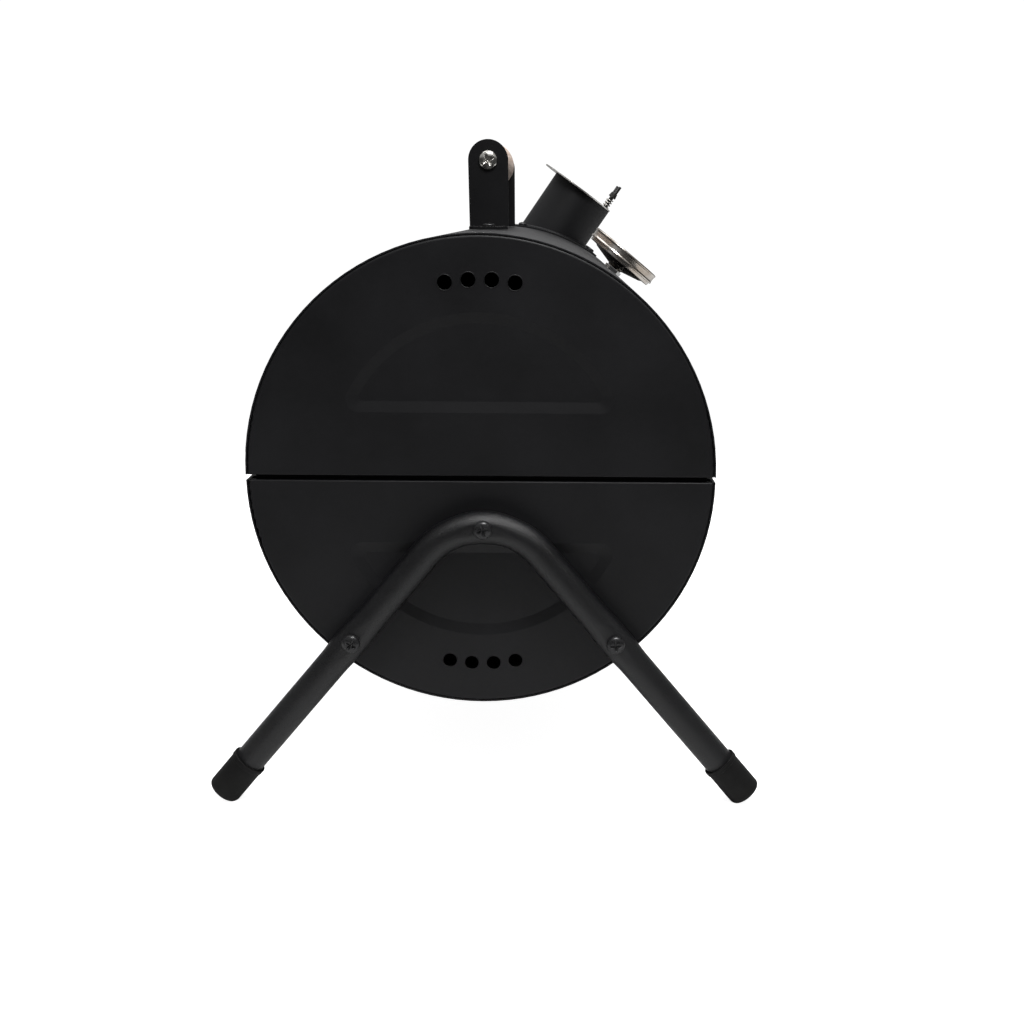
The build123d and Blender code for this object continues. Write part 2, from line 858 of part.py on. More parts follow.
def build_chimney():
    save(chimney_saddle(), "chimney_saddle")
    save(chimney_pipe(), "chimney_pipe")
    save(damper_plate(), "damper_plate")
    save(damper_spring(), "damper_spring")
    save(wing_nut(), "wing_nut")
    head_under = damper_axis(-ear_thickness - slip)
    down = Plane(origin=head_under.origin, x_dir=head_under.x_dir, z_dir=-head_under.z_dir)
    save(pan_screw([down], *damper_screw), "damper_screw")
    screws = [pan_screw([plane], *saddle_screw) for plane in saddle_screw_planes()]
    nuts = []
    for plane in saddle_screw_planes():
        depth = saddle_thickness + 3 * slip + sheet
        inner = plane.offset(-depth)
        under = Plane(origin=inner.origin, x_dir=inner.x_dir, z_dir=-inner.z_dir)
        nuts.append(hex_nuts([under], *m4_nut))
    save(group(screws), "saddle_screws")
    save(group(nuts), "saddle_nuts")


def group(parts):
    """Separate equal pieces in one node."""
    with BuildPart() as pieces:
        for part in parts:
            add(part)
    return pieces.part


def grate(half_x, half_y, height, bar, count):
    """A welded grid: a frame of round bar with thinner bars across it from side to side."""
    along = Rotation(90, 0, 0)
    across = Rotation(0, 90, 0)
    spacing = 2 * half_y / (count + 1)
    with BuildPart() as grid:
        with Locations(*[Location((x, 0, height)) for x in (-half_x, half_x)]):
            Cylinder(frame_bar, 2 * half_y + 2 * frame_bar, rotation=along)
        with Locations(*[Location((0, y, height)) for y in (-half_y, half_y)]):
            Cylinder(frame_bar, 2 * half_x + 2 * frame_bar, rotation=across)
        with Locations(Location((0, 0, height + frame_bar - bar))):
            with GridLocations(1, spacing, 1, count):
                Cylinder(bar, 2 * half_x, rotation=across)
    return grid.part


def grate_rail(ledge, ledge_x):
    """The front rail a grate rests on: a strip welded to the bottom shell with a ledge turned in."""
    outer = bottom_radius - sheet - slip
    inner = outer - rail_thickness
    wall_x = sqrt(inner**2 - (ledge + half_gap) ** 2) + rail_thickness / 2
    with BuildPart() as rail:
        with BuildSketch(end_plane(0)):
            with Locations((0, -half_gap)):
                Circle(outer)
                Circle(inner, mode=Mode.SUBTRACT)
            with Locations((outer, ledge - rail_drop / 2)):
                Rectangle(outer, rail_drop, mode=Mode.INTERSECT)
            with Locations(((ledge_x + wall_x) / 2, ledge - rail_thickness / 2)):
                Rectangle(wall_x - ledge_x, rail_thickness)
        extrude(amount=rail_half_length, both=True)
    return rail.part


def seam_band():
    """The upright strip inside the seam, which keeps rain and grease in and guides the lid down."""
    with BuildPart() as band:
        with BuildSketch(Plane.XY.offset(seam_height + band_bottom)):
            Rectangle(2 * band_x, 2 * band_y)
            Rectangle(2 * (band_x - sheet), 2 * (band_y - sheet), mode=Mode.SUBTRACT)
        extrude(amount=band_top - band_bottom)
    return band.part


def build_inside():
    save(seam_band(), "seam_band")
    cook = seam_height + grate_ledge + frame_bar + seat_gap
    save(grate(grate_half_x, grate_half_y, cook, cooking_bar, cooking_bar_count), "cooking_grate")
    fire = seam_height + fire_ledge + frame_bar + seat_gap
    save(grate(fire_half_x, fire_half_y, fire, fire_bar, fire_bar_count), "charcoal_grate")
    ledges = (("cooking", grate_ledge, grate_half_x), ("charcoal", fire_ledge, fire_half_x))
    for name, ledge, grate_x in ledges:
        rail = grate_rail(ledge, grate_x - ledge_overlap)
        save(rail, f"{name}_rail_front")
        with BuildPart() as rear:
            mirror(rail, about=Plane.YZ)
        save(rear.part, f"{name}_rail_rear")


def build_legs():
    tube = leg_tube()
    screws = group([pan_screw([plane], *leg_screw) for plane in leg_screw_planes()])
    nuts = group([hex_nuts([plane], *m6_nut) for plane in leg_nut_planes()])
    for name, piece in (("leg_tube", tube), ("leg_screws", screws), ("leg_nuts", nuts)):
        save(piece, f"{name}_near")
        save(far_copy(piece), f"{name}_far")
    for place, side_x in (("front", 1), ("rear", -1)):
        cap = foot_cap(side_x)
        save(cap, f"foot_cap_near_{place}")
        save(far_copy(cap), f"foot_cap_far_{place}")


def build_drum():
    for name, side in (("lid", 1), ("bottom", -1)):
        save(shell(side), f"{name}_shell")
        cap = end_cap(side)
        save(cap, f"{name}_end_near")
        save(far_copy(cap), f"{name}_end_far")


os.makedirs("parts", exist_ok=True)
build_drum()
build_hinges()
build_legs()
build_handle()
build_thermometer()
build_chimney()
build_inside()
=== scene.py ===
"""The looks of the tabletop barrel grill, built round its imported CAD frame.

Metres, in the frame's own axes: +X is the front, with the thermometer, +Z is up, and the camera faces
the -Y end. Places come from the frame's boxes and joints, and MM turns a size in millimetres into metres.
"""

import json
from math import cos, pi, radians, sin, sqrt, tau

import bmesh
import bpy
from mathutils import Matrix, Vector, noise


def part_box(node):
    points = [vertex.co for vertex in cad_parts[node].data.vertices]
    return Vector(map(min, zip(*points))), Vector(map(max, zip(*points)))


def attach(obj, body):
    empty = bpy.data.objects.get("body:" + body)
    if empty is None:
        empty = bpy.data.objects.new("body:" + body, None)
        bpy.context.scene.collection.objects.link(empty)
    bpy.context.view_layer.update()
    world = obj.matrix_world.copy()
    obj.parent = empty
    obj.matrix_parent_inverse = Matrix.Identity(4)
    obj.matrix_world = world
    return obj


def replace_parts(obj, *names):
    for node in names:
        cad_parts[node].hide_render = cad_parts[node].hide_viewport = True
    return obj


MM = 0.001

# Camera, from the near end of the drum
CAMERA_PLACE = (0.0418, -1.09, 0.3809)
CAMERA_YAW = radians(0.779)
CAMERA_PITCH = radians(15.935)
CAMERA_ROLL = radians(-0.556)
CAMERA_LENS = 45.9
CAMERA_SHIFT = (-0.0501, 0.0723)

# Vent holes and legs, as the CAD source has them
VENT_CIRCLE = 124.0 * MM
VENT_RADIUS = 4.7 * MM
VENT_ANGLES = (-10.05, -3.35, 3.35, 10.05)
LEG_ANGLE = radians(40)
LEG_BEND = 48.0 * MM

# Cross-head screws: the head's radius and height, the shank's radius, and how far the shank stops short of
# the CAD's
LEG_HEAD_RADIUS = 6.0 * MM
LEG_HEAD_HEIGHT = 3.6 * MM
LEG_SHANK_RADIUS = 2.95 * MM
GRIP_HEAD_HEIGHT = 3.2 * MM
GRIP_SHANK_RADIUS = 2.45 * MM
SHANK_GAP = 0.1 * MM

# Chimney saddle and hinge leaves: their outer face above the drum's shell
PLATE_HEIGHT = 1.55 * MM

# Hinge rivets: two through each leaf, either side of its middle and away from the seam
RIVET_HEAD = 2.6 * MM
RIVET_HEIGHT = 1.3 * MM
RIVET_ALONG = 11.0 * MM
RIVET_FROM_AXIS = 15.5 * MM

# Studio: strength of the surroundings as light, the direction's Z or Y over which it changes, strength as
# the camera sees it, and the table, with the glow that lifts it towards white
WORLD_FRONT = 0.06
WORLD_ABOVE = 0.4
WORLD_BACK = 0.5
ABOVE_BLEND = (0.12, 0.5)
BACK_BLEND = (0.72, 0.97)
WORLD_SEEN = 1.05
TABLE_LIFT = 0.9
TABLE_RADIUS = 0.95
TABLE_CENTRE = (0, 0.2, 0)

# Thermometer scale; each mark is its reach in from the rim and its half width
SCALE_START = 50
SCALE_STEP = 50
SCALE_COUNT = 7
MINOR_STEPS = 5
SCALE_TURN = -45.0
NUMBER_SIZE = 4.4 * MM
MAJOR_MARK = (6.2 * MM, 0.35 * MM)
MINOR_MARK = (4.4 * MM, 0.18 * MM)
PRINT_THICKNESS = 0.06 * MM
SCALE_RING = 2.2 * MM
SCALE_RING_WIDTH = 0.3 * MM

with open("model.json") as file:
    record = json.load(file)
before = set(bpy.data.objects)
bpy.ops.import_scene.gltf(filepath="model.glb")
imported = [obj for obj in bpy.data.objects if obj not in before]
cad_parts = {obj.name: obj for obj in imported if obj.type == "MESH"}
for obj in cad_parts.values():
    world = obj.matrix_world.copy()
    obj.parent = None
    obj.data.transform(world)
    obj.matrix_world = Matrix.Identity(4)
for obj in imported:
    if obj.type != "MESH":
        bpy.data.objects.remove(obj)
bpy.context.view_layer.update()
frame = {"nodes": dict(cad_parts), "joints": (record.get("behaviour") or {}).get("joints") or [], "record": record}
joints = {joint["name"]: joint for joint in frame["joints"]}


# ---------------------------------------------------------------- materials


class Finish:
    """A Principled material whose textures are laid out in the object's own metres."""

    def __init__(self, name, metallic=0.0, ior=1.5, coat=0.0):
        self.material = bpy.data.materials.new(name)
        self.material.use_nodes = True
        self.nodes = self.material.node_tree.nodes
        self.links = self.material.node_tree.links
        self.shader = self.nodes["Principled BSDF"]
        self.shader.inputs["Metallic"].default_value = metallic
        self.shader.inputs["IOR"].default_value = ior
        self.shader.inputs["Coat Weight"].default_value = coat
        self.place = self.nodes.new("ShaderNodeTexCoord").outputs["Object"]

    def node(self, kind, **settings):
        made = self.nodes.new(kind)
        for name, value in settings.items():
            setattr(made, name, value)
        return made

    def feed(self, node, **values):
        """Links or sets a node's inputs by name, with _ for a space."""
        for name, value in values.items():
            socket = node.inputs[name.replace("_", " ")]
            if isinstance(value, bpy.types.NodeSocket):
                self.links.new(value, socket)
            else:
                socket.default_value = value
        return node

    def stretched(self, x, y, z):
        node = self.feed(self.node("ShaderNodeMapping"), Vector=self.place, Scale=(x, y, z))
        return node.outputs["Vector"]

    def noise(self, per_metre, detail=2.0, place=None, distortion=0.0):
        node = self.node("ShaderNodeTexNoise")
        self.feed(node, Vector=place or self.place, Scale=per_metre, Detail=detail, Distortion=distortion)
        return node.outputs["Fac"]

    def waves(self, per_metre, distortion, place=None):
        node = self.node("ShaderNodeTexWave", wave_type="RINGS", rings_direction="Y")
        self.feed(node, Vector=place or self.place, Scale=per_metre, Distortion=distortion, Detail=3.0)
        return node.outputs["Fac"]

    def ranged(self, value, low, high, start=0.3, end=0.7):
        node = self.node("ShaderNodeMapRange")
        self.feed(node, Value=value, From_Min=start, From_Max=end, To_Min=low, To_Max=high)
        return node.outputs["Result"]

    def mixed(self, share, dark, light):
        node = self.node("ShaderNodeMix", data_type="RGBA")
        for socket, value in ((node.inputs[0], share), (node.inputs[6], dark), (node.inputs[7], light)):
            if isinstance(value, bpy.types.NodeSocket):
                self.links.new(value, socket)
            elif isinstance(value, tuple):
                socket.default_value = (*value, 1.0)
            else:
                socket.default_value = value
        return node.outputs[2]

    def sum(self, first, second, share=0.5):
        node = self.node("ShaderNodeMix", data_type="FLOAT")
        self.links.new(first, node.inputs[2])
        self.links.new(second, node.inputs[3])
        node.inputs[0].default_value = share
        return node.outputs[0]

    def edges(self, radius):
        """(rounded normal, share that is 1 on a sharp edge and 0 on a flat face)."""
        bevel = self.feed(self.node("ShaderNodeBevel", samples=4), Radius=radius)
        rounded = bevel.outputs["Normal"]
        flat = self.node("ShaderNodeNewGeometry").outputs["Normal"]
        dot = self.node("ShaderNodeVectorMath", operation="DOT_PRODUCT")
        self.links.new(rounded, dot.inputs[0])
        self.links.new(flat, dot.inputs[1])
        return rounded, self.ranged(dot.outputs["Value"], 1.0, 0.0, start=0.7, end=0.97)

    def bump(self, height, distance, normal=None):
        node = self.feed(self.node("ShaderNodeBump"), Height=height, Distance=distance)
        if normal is not None:
            self.links.new(normal, node.inputs["Normal"])
        return node.outputs["Normal"]

    def done(self, colour, roughness, normal=None):
        self.feed(self.shader, Base_Color=colour, Roughness=roughness)
        if normal is not None:
            self.links.new(normal, self.shader.inputs["Normal"])
        return self.material


def powder_coat(name, colour, peel, peel_depth, roughness, edge, specular):
    """Baked paint: a fine peel in the surface, cloudy gloss, and sharp edges lighter in patches, partly as thin,
    abraded paint and partly as a painted highlight.
    """
    f = Finish(name)
    f.shader.inputs["Specular IOR Level"].default_value = specular
    cloud = f.noise(18, detail=3)
    grain = f.noise(peel, detail=3)
    fine = f.noise(peel * 3.7, detail=1)
    light = tuple(1.3 * c for c in colour)
    dark = tuple(0.8 * c for c in colour)
    film = f.mixed(f.ranged(cloud, 0, 1), dark, light)
    normal, edge_share = f.edges(edge)
    # Sharp edges are painted lighter in patches: partly thin, abraded paint, partly a painted highlight along the
    # edges.
    worn_and_highlit_edge = tuple(2.2 * c for c in colour)
    edge_patches = f.ranged(f.noise(150, detail=4), 0.0, 1.0, start=0.35, end=0.65)
    wear_and_highlight = f.node("ShaderNodeMath", operation="MULTIPLY")
    f.links.new(edge_share, wear_and_highlight.inputs[0])
    f.links.new(edge_patches, wear_and_highlight.inputs[1])
    painted = f.mixed(wear_and_highlight.outputs[0], film, worn_and_highlit_edge)
    gloss = f.ranged(f.sum(cloud, grain, 0.6), roughness - 0.05, roughness + 0.07)
    return f.done(painted, gloss, f.bump(f.sum(grain, fine, 0.35), peel_depth, normal))


def black_metal(name, colour, roughness):
    """Blackened steel, as on screws: dark and glossy, mottled, with sharp edges painted light grey, partly as
    abraded metal and partly as a painted highlight.
    """
    f = Finish(name, metallic=0.35)
    normal, edge_share = f.edges(0.35 * MM)
    spots = f.noise(900, detail=4)
    base = f.mixed(f.ranged(spots, 0, 1), tuple(0.6 * c for c in colour), tuple(1.6 * c for c in colour))
    # Sharp edges painted light grey: partly abraded metal, partly a painted highlight on the rims.
    worn_and_highlit_edge = f.mixed(edge_share, base, (0.09, 0.09, 0.088))
    return f.done(worn_and_highlit_edge, f.ranged(spots, roughness - 0.08, roughness + 0.12), f.bump(spots, 0.04 * MM, normal))


def bright_metal(name, colour, roughness, tarnish, mottle=500, depth=0.02, stretch=(1, 1, 1)):
    """Plated or bare steel with a mottled tarnish and fine scratches."""
    f = Finish(name, metallic=1.0)
    place = f.stretched(*stretch)
    spots = f.noise(mottle, detail=5, place=place)
    cloud = f.noise(60, detail=3)
    base = f.mixed(f.ranged(f.sum(spots, cloud), 0, 1), tarnish, colour)
    normal, _ = f.edges(0.25 * MM)
    rough = f.ranged(spots, roughness - 0.06, roughness + 0.14)
    return f.done(base, rough, f.bump(spots, depth * MM, normal))


def turned_steel(name):
    """Stainless steel spun on a lathe: fine lines run round the thermometer's own axis."""
    f = Finish(name, metallic=1.0)
    joint = joints["thermometer_needle_turn"]
    axis = Vector(joint["axis"])
    from_centre = f.node("ShaderNodeVectorMath", operation="SUBTRACT")
    f.links.new(f.place, from_centre.inputs[0])
    from_centre.inputs[1].default_value = joint["pos_m"]
    height = f.node("ShaderNodeVectorMath", operation="DOT_PRODUCT")
    f.links.new(from_centre.outputs[0], height.inputs[0])
    height.inputs[1].default_value = axis
    across = f.node("ShaderNodeVectorMath", operation="CROSS_PRODUCT")
    f.links.new(from_centre.outputs[0], across.inputs[0])
    across.inputs[1].default_value = axis
    radius = f.node("ShaderNodeVectorMath", operation="LENGTH")
    f.links.new(across.outputs[0], radius.inputs[0])
    rings = f.node("ShaderNodeCombineXYZ")
    f.links.new(radius.outputs["Value"], rings.inputs[0])
    f.links.new(height.outputs["Value"], rings.inputs[1])
    lines = f.noise(9000, detail=2, place=rings.outputs[0])
    smears = f.noise(70, detail=4, distortion=0.6)
    heat = f.mixed(f.ranged(smears, 0, 1), (0.36, 0.31, 0.26), (0.62, 0.6, 0.57))
    rough = f.ranged(f.sum(lines, smears, 0.4), 0.16, 0.34)
    return f.done(heat, rough, f.bump(lines, 0.006 * MM))


def rubber(name):
    f = Finish(name, ior=1.45)
    f.shader.inputs["Specular IOR Level"].default_value = 0.2
    grain = f.noise(1600, detail=3)
    dust = f.noise(55, detail=5)
    normal, edge_share = f.edges(0.5 * MM)
    base = f.mixed(f.ranged(dust, 0, 1, start=0.42, end=0.75), (0.004, 0.004, 0.004), (0.009, 0.0088, 0.0086))
    scuffed = f.mixed(edge_share, base, (0.024, 0.0235, 0.023))
    return f.done(scuffed, f.ranged(grain, 0.5, 0.68), f.bump(grain, 0.05 * MM, normal))


def wood(name):
    """Pale oiled beech: grain along the grip, short dark flecks and soft growth rings."""
    f = Finish(name, ior=1.45)
    long_grain = f.noise(1.0, detail=6, place=f.stretched(520, 22, 520), distortion=0.4)
    flecks = f.noise(1.0, detail=2, place=f.stretched(1500, 130, 1500))
    rings = f.waves(24, 5.0, place=f.stretched(3.0, 0.35, 3.0))
    base = f.mixed(f.ranged(rings, 0, 1, start=0.1, end=0.9), (0.56, 0.43, 0.35), (0.72, 0.59, 0.51))
    grained = f.mixed(f.ranged(long_grain, 0.0, 0.55), base, (0.38, 0.26, 0.19))
    flecked = f.mixed(f.ranged(flecks, 0.0, 0.5, start=0.6, end=0.75), grained, (0.24, 0.15, 0.1))
    rough = f.ranged(long_grain, 0.42, 0.58)
    return f.done(flecked, rough, f.bump(f.sum(long_grain, flecks, 0.4), 0.06 * MM))


def dial_face(name):
    f = Finish(name)
    speckle = f.noise(1400, detail=2)
    fade = f.noise(40, detail=3)
    base = f.mixed(f.ranged(fade, 0, 1), (0.74, 0.72, 0.66), (0.82, 0.81, 0.78))
    return f.done(base, f.ranged(speckle, 0.45, 0.6), f.bump(speckle, 0.01 * MM))


def printed_ink(name, colour):
    f = Finish(name)
    speckle = f.noise(3000, detail=2)
    base = f.mixed(f.ranged(speckle, 0, 1), colour, tuple(1.6 * c + 0.004 for c in colour))
    return f.done(base, f.ranged(speckle, 0.35, 0.5), f.bump(speckle, 0.004 * MM))


def glass(name):
    """A thin window, faintly hazed where smoke has reached it."""
    f = Finish(name, ior=1.45)
    f.shader.inputs["Transmission Weight"].default_value = 1.0
    haze = f.noise(90, detail=4)
    tint = f.mixed(f.ranged(haze, 0, 1), (0.93, 0.93, 0.9), (0.99, 0.99, 0.98))
    return f.done(tint, f.ranged(haze, 0.0, 0.05), f.bump(haze, 0.002 * MM))


def make_coats():
    """The three paints, each by its colour, peel per metre and depth, roughness, width of the lighter edge (partly
    abraded paint, partly painted highlight) and gloss.
    """
    drum = ((0.006, 0.006, 0.0069), 650, 0.05 * MM, 0.5, 0.45 * MM, 0.26)
    leg = ((0.0042, 0.0042, 0.0049), 1300, 0.35 * MM, 0.3, 0.4 * MM, 0.4)
    bracket = ((0.0045, 0.0045, 0.005), 900, 0.04 * MM, 0.4, 0.4 * MM, 0.25)
    return {
        "black_coat": powder_coat("black_coat", *drum),
        "leg_coat": powder_coat("leg_coat", *leg),
        "bracket_coat": powder_coat("bracket_coat", *bracket),
    }


def make_metals():
    """The bare and plated metals, the bright ones by their colour, roughness and tarnish."""
    fine_lines = (900, 40, 900)
    chrome = ((0.78, 0.77, 0.74), 0.16, (0.4, 0.38, 0.34))
    zinc = ((0.6, 0.61, 0.62), 0.34, (0.42, 0.42, 0.4))
    brushed = ((0.66, 0.65, 0.63), 0.3, (0.5, 0.48, 0.45))
    spring = ((0.5, 0.49, 0.47), 0.26, (0.25, 0.24, 0.22))
    sooty = ((0.42, 0.39, 0.36), 0.42, (0.16, 0.12, 0.09))
    plated = ((0.7, 0.69, 0.66), 0.22, (0.45, 0.41, 0.36))
    return {
        "black_screw": black_metal("black_screw", (0.016, 0.016, 0.017), 0.3),
        "wing_black": black_metal("wing_black", (0.013, 0.013, 0.013), 0.36),
        "chrome_screw": bright_metal("chrome_screw", *chrome, depth=0.06),
        "zinc": bright_metal("zinc", *zinc, mottle=300),
        "damper_steel": bright_metal("damper_steel", *brushed, mottle=1.0, depth=0.01, stretch=fine_lines),
        "spring_steel": bright_metal("spring_steel", *spring),
        "grate_wire": bright_metal("grate_wire", *sooty, mottle=140, depth=0.05),
        "cooking_wire": bright_metal("cooking_wire", *plated, mottle=160),
        "gauge_steel": turned_steel("gauge_steel"),
    }


def make_materials():
    return {
        **make_coats(),
        **make_metals(),
        "foot_rubber": rubber("foot_rubber"),
        "grip_wood": wood("grip_wood"),
        "gauge_face": dial_face("gauge_face"),
        "gauge_glass": glass("gauge_glass"),
        "gauge_needle": printed_ink("gauge_needle", (0.45, 0.025, 0.02)),
        "scale_ink": printed_ink("scale_ink", (0.012, 0.012, 0.014)),
    }


def paint(piece, material):
    piece.data.materials.clear()
    piece.data.materials.append(material)


def paint_nodes():
    """Each CAD node takes the material of the slot that the record gives it."""
    for part in frame["record"]["subparts"]:
        piece = frame["nodes"][part["node"]]
        if not piece.material_slots:
            piece.data.materials.append(None)
        for place in piece.material_slots:
            place.link = "OBJECT"
            place.material = materials[part["material_slot"]]


# ---------------------------------------------------------------- mesh tools


def piece_from(bm, name, slot, body, sharp=radians(35), material=None):
    """Turns a bmesh in the row frame into a named piece, smooth but for its sharp edges, on its body."""
    bmesh.ops.recalc_face_normals(bm, faces=bm.faces)
    for face in bm.faces:
        face.smooth = True
    for edge in bm.edges:
        edge.smooth = not (edge.is_manifold and edge.calc_face_angle(0.0) > sharp)
    mesh = bpy.data.meshes.new(name)
    bm.to_mesh(mesh)
    bm.free()
    made = bpy.data.objects.new(name, mesh)
    bpy.context.scene.collection.objects.link(made)
    paint(made, material or materials[slot])
    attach(made, body)
    return made


def bridge(bm, first, second):
    """Faces between two rings of as many points."""
    for i in range(len(first)):
        j = (i + 1) % len(first)
        bm.faces.new((first[i], first[j], second[j], second[i]))


def lathe(bm, profile, place, segments=64, closed=False):
    """Turns (radius, height) points round the place's own Z; a radius of 0 closes that end to a point."""
    rows = []
    for radius, height in profile:
        if radius == 0:
            rows.append([bm.verts.new(place @ Vector((0, 0, height)))])
            continue
        row = []
        for i in range(segments):
            a = tau * i / segments
            row.append(bm.verts.new(place @ Vector((radius * cos(a), radius * sin(a), height))))
        rows.append(row)
    pairs = list(zip(rows, rows[1:]))
    if closed:
        pairs.append((rows[-1], rows[0]))
    for first, second in pairs:
        if len(first) == 1 or len(second) == 1:
            tip, ring = (first[0], second) if len(first) == 1 else (second[0], first)
            for i in range(segments):
                bm.faces.new((tip, ring[i], ring[(i + 1) % segments]))
        else:
            bridge(bm, first, second)


def rounded(points, radius, steps=5):
    """The outline with each corner turned into an arc of about this radius; both ends stay."""
    made = [points[0]]
    for before, corner, after in zip(points, points[1:], points[2:]):
        back = Vector(before) - Vector(corner)
        ahead = Vector(after) - Vector(corner)
        reach = min(radius, 0.45 * back.length, 0.45 * ahead.length)
        start = Vector(corner) + back.normalized() * reach
        end = Vector(corner) + ahead.normalized() * reach
        for i in range(steps + 1):
            t = i / steps
            point = start * (1 - t) ** 2 + Vector(corner) * 2 * t * (1 - t) + end * t * t
            made.append(tuple(point))
    made.append(points[-1])
    return made


def facing(origin, normal, x_axis=(0, 1, 0)):
    """A place whose Z is the normal and whose X is as near to x_axis as it can be."""
    z = Vector(normal).normalized()
    y = z.cross(Vector(x_axis)).normalized()
    x = y.cross(z)
    return Matrix.Translation(Vector(origin)) @ Matrix((x, y, z)).transposed().to_4x4()


def sweep(bm, path, section, closed=False):
    """A tube through frames of (point, side, up); section(i) gives the (side, up) points of ring i."""
    rings = []
    for i, (point, side, up) in enumerate(path):
        rings.append([bm.verts.new(point + side * a + up * b) for a, b in section(i)])
    for first, second in zip(rings, rings[1:]):
        bridge(bm, first, second)
    if closed:
        bridge(bm, rings[-1], rings[0])
    else:
        bm.faces.new(rings[0])
        bm.faces.new(reversed(rings[-1]))


# ---------------------------------------------------------------- places from the frame

lid_low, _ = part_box("lid_end_near")
_, bottom_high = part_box("bottom_end_near")
_, shell_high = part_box("lid_shell")
lid_radius = shell_high.x
lid_axis_z = lid_low.z
bottom_axis_z = bottom_high.z
seam_z = (lid_axis_z + bottom_axis_z) / 2
end_y = -lid_low.y
ENDS = (("near", -1), ("far", 1))


# ---------------------------------------------------------------- pieces


def smooth_step(x):
    t = max(0.0, min(1.0, x))
    return t * t * (3 - 2 * t)


def leg_path(low, high, radius):
    """Centreline points and outward directions in the leg's upright plane, from rear foot to front foot."""
    middle_x = (low.x + high.x) / 2
    bend = Vector((middle_x, 0, high.z - radius - LEG_BEND))
    turn = pi / 2 - LEG_ANGLE
    bend_end = bend + LEG_BEND * Vector((sin(turn), 0, cos(turn)))
    foot_x = high.x - radius * cos(LEG_ANGLE)
    straight = (foot_x - bend_end.x) / sin(LEG_ANGLE)
    down = Vector((sin(LEG_ANGLE), 0, -cos(LEG_ANGLE)))
    out = Vector((cos(LEG_ANGLE), 0, sin(LEG_ANGLE)))
    steps = 90
    arc_steps = 24
    front = [(bend_end + down * straight * i / steps, out) for i in range(1, steps + 1)]
    arc = []
    for i in range(-arc_steps, arc_steps + 1):
        a = turn * i / arc_steps
        up = Vector((sin(a), 0, cos(a)))
        arc.append((bend + LEG_BEND * up, up))
    rear = [(Vector((2 * middle_x - p.x, 0, p.z)), Vector((-o.x, 0, o.z))) for p, o in reversed(front)]
    return rear + arc + front


def leg_tube(end, side):
    """A bent tube, pressed a little flatter and wider where each screw passes through it."""
    node = f"leg_tube_{end}"
    low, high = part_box(node)
    radius = (high.y - low.y) / 2
    axis_y = (low.y + high.y) / 2
    seats = [centre for centre, _ in leg_screw_heads(end, side)]
    points = leg_path(low, high, radius)
    flat = 0.55 * MM
    spread = 0.07
    seat = 5 * MM
    reach = 17 * MM
    around = 40
    presses = []
    for point, _ in points:
        near = min((Vector((c.x, 0, c.z)) - point).length for c in seats)
        presses.append(1 - smooth_step((near - seat) / reach))

    def section(i):
        press = presses[i]
        ring = []
        for k in range(around):
            a = tau * k / around
            across = radius * cos(a) * (1 + spread * press)
            deep = radius * sin(a)
            ring.append((across, min(deep, radius - flat * press)))
        return ring

    lifted = [(p + Vector((0, axis_y, 0)), out, Vector((0, side, 0))) for p, out in points]
    bm = bmesh.new()
    sweep(bm, lifted, section)
    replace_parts(piece_from(bm, f"leg_tube_pressed_{end}", "leg_coat", "base", radians(50)), node)


def phillips_head(bm, place, radius, height, shank_radius, shank_length):
    """A pan head with a tapered cross recess, on its shank; the place is under the head and faces out."""
    around, rows = 96, 26
    arm = 0.62 * radius
    half_width = 0.13 * radius
    depth = 0.6 * height
    soft = 0.05 * radius

    def top(x, y, base):
        long_side, short_side = max(abs(x), abs(y)), min(abs(x), abs(y))
        inside = 1 - smooth_step((short_side - half_width + soft) / (2 * soft))
        taper = max(0.0, 1 - long_side / arm) ** 0.5
        return base - depth * inside * taper

    grid = []
    for row in range(1, rows + 1):
        t = pi / 2 * row / rows
        r = radius * sin(t) ** 0.75
        base = height * max(0.0, cos(t)) ** 0.8
        ring = []
        for k in range(around):
            x, y = r * cos(tau * k / around), r * sin(tau * k / around)
            ring.append(bm.verts.new(place @ Vector((x, y, top(x, y, base)))))
        grid.append(ring)
    tip = bm.verts.new(place @ Vector((0, 0, top(0, 0, height))))
    for k in range(around):
        bm.faces.new((tip, grid[0][k], grid[0][(k + 1) % around]))
    for first, second in zip(grid, grid[1:]):
        bridge(bm, first, second)
    collar = []
    for r, z in ((shank_radius, 0), (shank_radius, -shank_length)):
        ring = [Vector((r * cos(tau * k / around), r * sin(tau * k / around), z)) for k in range(around)]
        collar.append([bm.verts.new(place @ p) for p in ring])
    bridge(bm, grid[-1], collar[0])
    bridge(bm, collar[0], collar[1])
    bm.faces.new(collar[1])


def leg_screw_heads(end, side):
    """(point under the head, outward direction) of the leg's three screws."""
    low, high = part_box(f"leg_screws_{end}")
    head = LEG_HEAD_RADIUS
    y = low.y + LEG_HEAD_HEIGHT if side < 0 else high.y - LEG_HEAD_HEIGHT
    middle = (low.x + high.x) / 2
    places = ((middle, high.z - head), (low.x + head, low.z + head), (high.x - head, low.z + head))
    return [(Vector((x, y, z)), Vector((0, side, 0))) for x, z in places]


def leg_screws(end, side):
    low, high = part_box(f"leg_screws_{end}")
    shank = high.y - low.y - LEG_HEAD_HEIGHT - SHANK_GAP
    first_turn, next_turn = 20, 37
    bm = bmesh.new()
    for i, (centre, out) in enumerate(leg_screw_heads(end, side)):
        a = radians(first_turn + next_turn * i)
        place = facing(centre, out, (cos(a), 0, sin(a)))
        phillips_head(bm, place, LEG_HEAD_RADIUS, LEG_HEAD_HEIGHT, LEG_SHANK_RADIUS, shank)
    made = piece_from(bm, f"leg_screw_heads_{end}", "black_screw", "base", radians(60))
    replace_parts(made, f"leg_screws_{end}")


